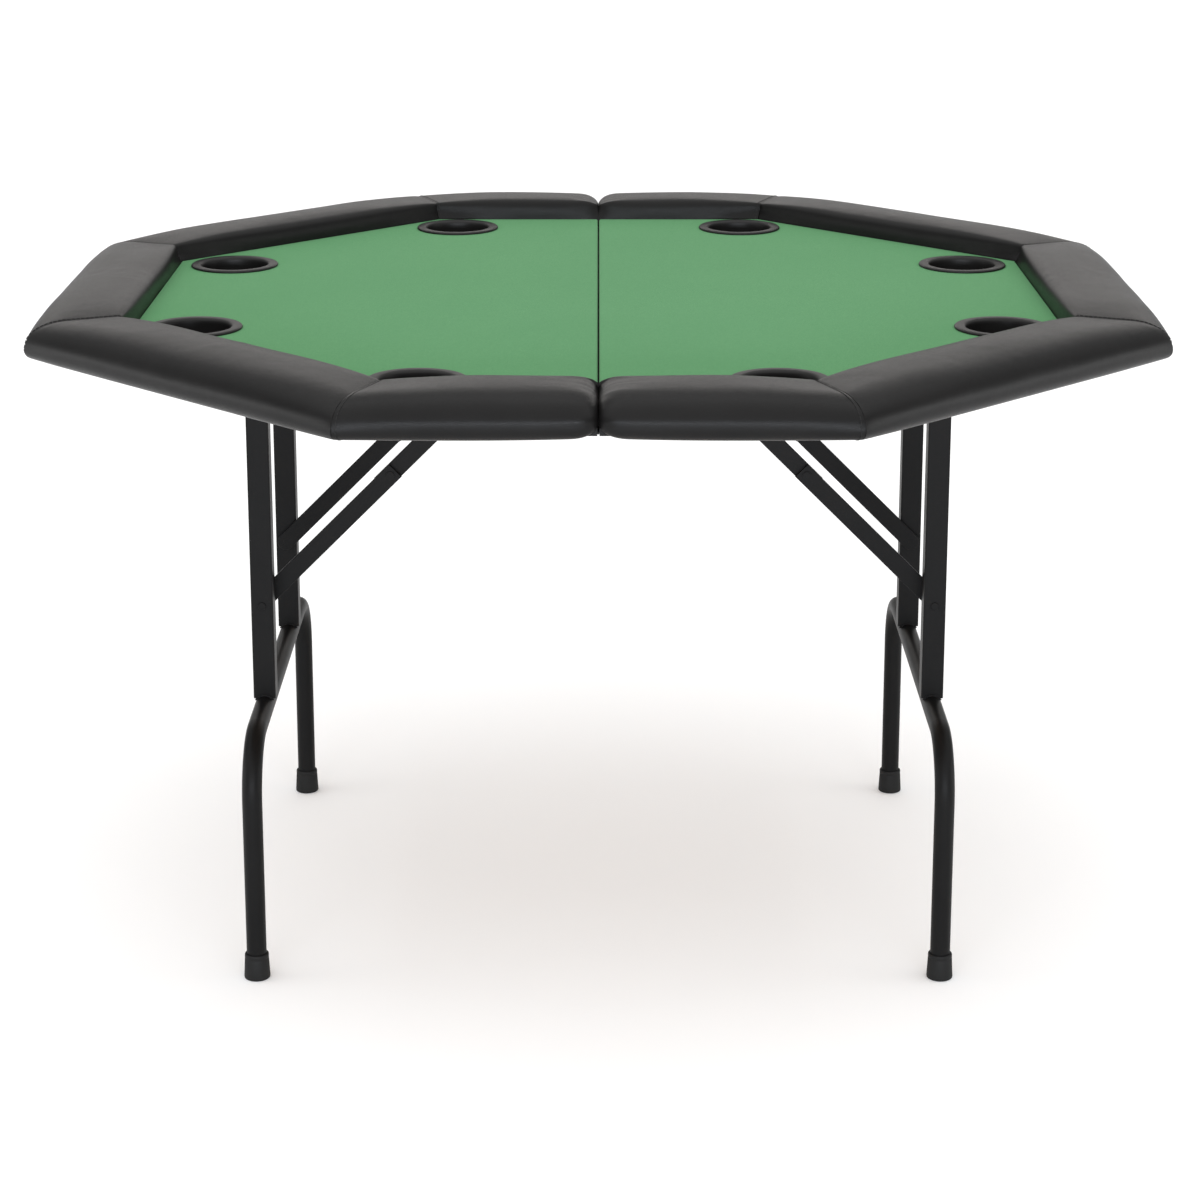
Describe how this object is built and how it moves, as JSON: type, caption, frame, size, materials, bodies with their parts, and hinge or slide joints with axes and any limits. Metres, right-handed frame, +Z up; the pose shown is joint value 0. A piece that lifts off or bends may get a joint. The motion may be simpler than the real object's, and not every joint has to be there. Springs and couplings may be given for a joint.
{
  "type": "poker table",
  "caption": "Folding octagonal card table with a felt playing surface, padded rail, drop-in cup holders and braced steel leg frames.",
  "frame": {"origin": "centre of the octagon, on the floor", "axes": "+Z up, X across the seam (left half at -X), Y along the seam with the front at -Y"},
  "size_m": [1.22, 1.22, 0.738],
  "materials": {
    "board": "raw medium-density fibreboard",
    "felt": "short-pile playing felt",
    "rail_cover": "satin grained synthetic leather over foam",
    "cup_plastic": "satin moulded",
    "black_steel": "satin black powder coat",
    "hinge_steel": "zinc-plated",
    "foot_rubber": "moulded matt"
  },
  "bodies": {
    "left_top": {"left_board": "board", "left_felt": "felt", "left_rail_core": "board", "left_pad_front": "rail_cover", "left_pad_front_diagonal": "rail_cover", "left_pad_side": "rail_cover", "left_pad_rear_diagonal": "rail_cover", "left_pad_rear": "rail_cover", "left_cup_front": "cup_plastic", "left_cup_front_side": "cup_plastic", "left_cup_rear_side": "cup_plastic", "left_cup_rear": "cup_plastic", "left_leg_brackets": "black_steel", "left_brace_anchors": "black_steel", "left_front_hinge_leaf": "hinge_steel", "front_hinge_pin": "hinge_steel", "left_rear_hinge_leaf": "hinge_steel", "rear_hinge_pin": "hinge_steel"},
    "left_leg": {"left_front_post": "black_steel", "left_front_foot_cap": "foot_rubber", "left_rear_post": "black_steel", "left_rear_foot_cap": "foot_rubber", "left_pivot_rod": "hinge_steel", "left_foot_frame": "black_steel", "left_leg_rivets": "black_steel"},
    "left_lower_arms": {"left_front_lower_arm": "black_steel", "left_rear_lower_arm": "black_steel"},
    "left_upper_arms": {"left_front_upper_arm": "black_steel", "left_rear_upper_arm": "black_steel"},
    "left_front_lock": {"left_front_lock_lever": "black_steel"},
    "left_rear_lock": {"left_rear_lock_lever": "black_steel"},
    "right_top": {"right_board": "board", "right_felt": "felt", "right_rail_core": "board", "right_pad_front": "rail_cover", "right_pad_front_diagonal": "rail_cover", "right_pad_side": "rail_cover", "right_pad_rear_diagonal": "rail_cover", "right_pad_rear": "rail_cover", "right_cup_front": "cup_plastic", "right_cup_front_side": "cup_plastic", "right_cup_rear_side": "cup_plastic", "right_cup_rear": "cup_plastic", "right_leg_brackets": "black_steel", "right_brace_anchors": "black_steel", "right_front_hinge_leaf": "hinge_steel", "right_rear_hinge_leaf": "hinge_steel"},
    "right_leg": {"right_front_post": "black_steel", "right_front_foot_cap": "foot_rubber", "right_rear_post": "black_steel", "right_rear_foot_cap": "foot_rubber", "right_pivot_rod": "hinge_steel", "right_foot_frame": "black_steel", "right_leg_rivets": "black_steel"},
    "right_lower_arms": {"right_front_lower_arm": "black_steel", "right_rear_lower_arm": "black_steel"},
    "right_upper_arms": {"right_front_upper_arm": "black_steel", "right_rear_upper_arm": "black_steel"},
    "right_front_lock": {"right_front_lock_lever": "black_steel"},
    "right_rear_lock": {"right_rear_lock_lever": "black_steel"}
  },
  "joints": [
    {"name": "table_fold", "type": "hinge", "parent": "left_top", "child": "right_top", "pos_m": [0, 0, 0.691], "axis": [0, -1, 0], "range_deg": [-50, 0]},
    {"name": "left_leg_fold", "type": "hinge", "parent": "left_top", "child": "left_leg", "pos_m": [-0.378, 0, 0.674], "axis": [0, -1, 0], "range_deg": [0, 90]},
    {"name": "left_upper_arm_fold", "type": "hinge", "parent": "left_top", "child": "left_upper_arms", "pos_m": [-0.089, 0, 0.674], "axis": [0, 1, 0], "range_deg": [0, 45]},
    {"name": "left_lower_arm_fold", "type": "hinge", "parent": "left_leg", "child": "left_lower_arms", "pos_m": [-0.378, 0, 0.385], "axis": [0, -1, 0], "range_deg": [0, 45]},
    {"name": "left_front_lock_lift", "type": "hinge", "parent": "left_upper_arms", "child": "left_front_lock", "pos_m": [-0.20946, 0, 0.55354], "axis": [0, -1, 0], "range_deg": [0, 15], "stiffness_Nm_per_rad": 0.1, "springref_deg": -5.73},
    {"name": "left_rear_lock_lift", "type": "hinge", "parent": "left_upper_arms", "child": "left_rear_lock", "pos_m": [-0.20946, 0, 0.55354], "axis": [0, -1, 0], "range_deg": [0, 15], "stiffness_Nm_per_rad": 0.1, "springref_deg": -5.73},
    {"name": "right_leg_fold", "type": "hinge", "parent": "right_top", "child": "right_leg", "pos_m": [0.378, 0, 0.674], "axis": [0, 1, 0], "range_deg": [0, 84]},
    {"name": "right_upper_arm_fold", "type": "hinge", "parent": "right_top", "child": "right_upper_arms", "pos_m": [0.089, 0, 0.674], "axis": [0, -1, 0], "range_deg": [0, 43.76]},
    {"name": "right_lower_arm_fold", "type": "hinge", "parent": "right_leg", "child": "right_lower_arms", "pos_m": [0.378, 0, 0.385], "axis": [0, 1, 0], "range_deg": [0, 43.76]},
    {"name": "right_front_lock_lift", "type": "hinge", "parent": "right_upper_arms", "child": "right_front_lock", "pos_m": [0.20946, 0, 0.55354], "axis": [0, 1, 0], "range_deg": [0, 15], "stiffness_Nm_per_rad": 0.1, "springref_deg": -5.73},
    {"name": "right_rear_lock_lift", "type": "hinge", "parent": "right_upper_arms", "child": "right_rear_lock", "pos_m": [0.20946, 0, 0.55354], "axis": [0, 1, 0], "range_deg": [0, 15], "stiffness_Nm_per_rad": 0.1, "springref_deg": -5.73}
  ],
  "couplings": [
    {"joint": "left_upper_arm_fold", "follows": "left_leg_fold", "ratio": 0.5},
    {"joint": "left_lower_arm_fold", "follows": "left_leg_fold", "ratio": 0.5},
    {"joint": "right_upper_arm_fold", "follows": "right_leg_fold", "ratio": 0.52089},
    {"joint": "right_lower_arm_fold", "follows": "right_leg_fold", "ratio": 0.52089}
  ]
}
